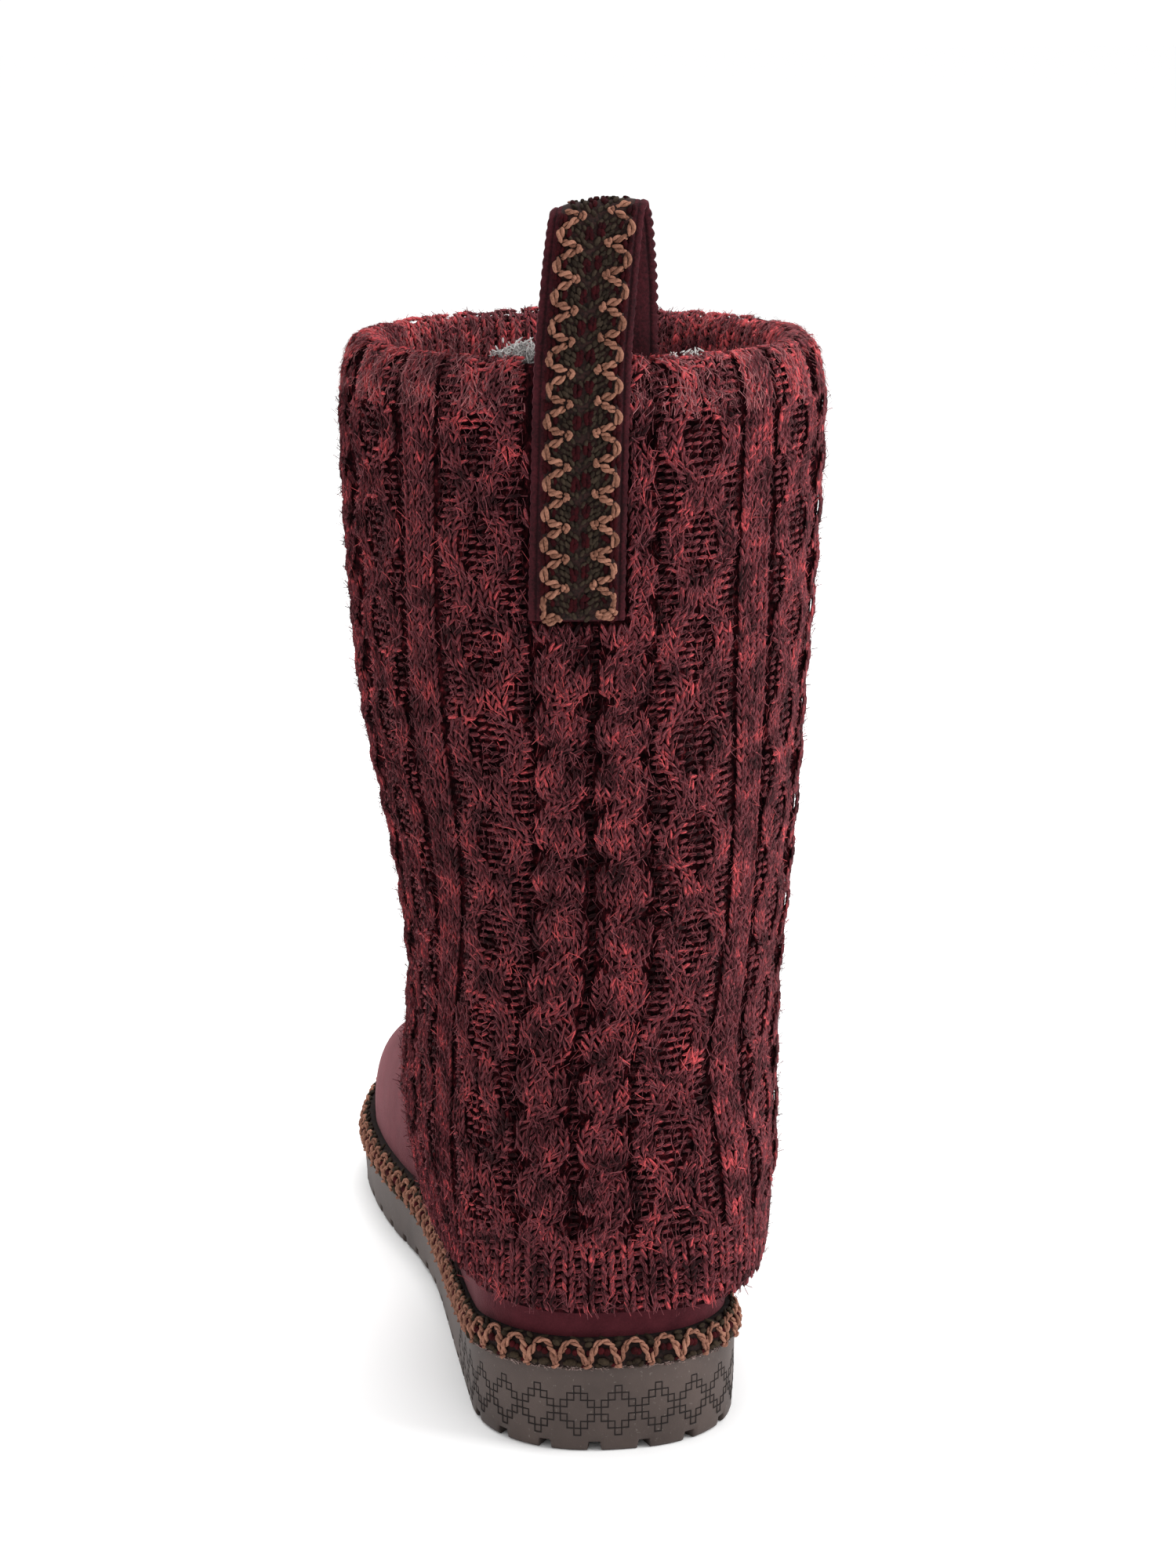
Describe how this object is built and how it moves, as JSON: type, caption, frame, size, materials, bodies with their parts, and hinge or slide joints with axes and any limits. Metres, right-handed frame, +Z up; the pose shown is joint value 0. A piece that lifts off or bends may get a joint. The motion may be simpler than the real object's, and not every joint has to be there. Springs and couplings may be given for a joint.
{
  "type": "boot",
  "caption": "Pull-on suede ankle boot under a cable-knit sleeve, with a rolled collar, braided trim, wedge rubber sole and a tape pull loop at the heel.",
  "frame": {"origin": "on the floor under the heel, at the flat of the outsole straight below the middle of the collar", "axes": "+Z up; +X towards the inner (medial) side of the right foot; the toe points along -Y and the heel along +Y"},
  "size_m": [0.1254, 0.2875, 0.3301],
  "materials": {
    "sole_rubber": "matte moulded rubber",
    "fleece": "short curly fleece",
    "suede": "soft napped suede",
    "trim_yarn": "braided cord",
    "knit_yarn": "fuzzy marled yarn",
    "loop_tape": "dense woven tape"
  },
  "bodies": {
    "root": {"outsole": "sole_rubber", "insole": "fleece", "foot_upper": "suede", "trim_braid": "trim_yarn", "knit_shaft": "knit_yarn", "pull_loop": "loop_tape", "loop_braid": "trim_yarn"}
  },
  "joints": []
}
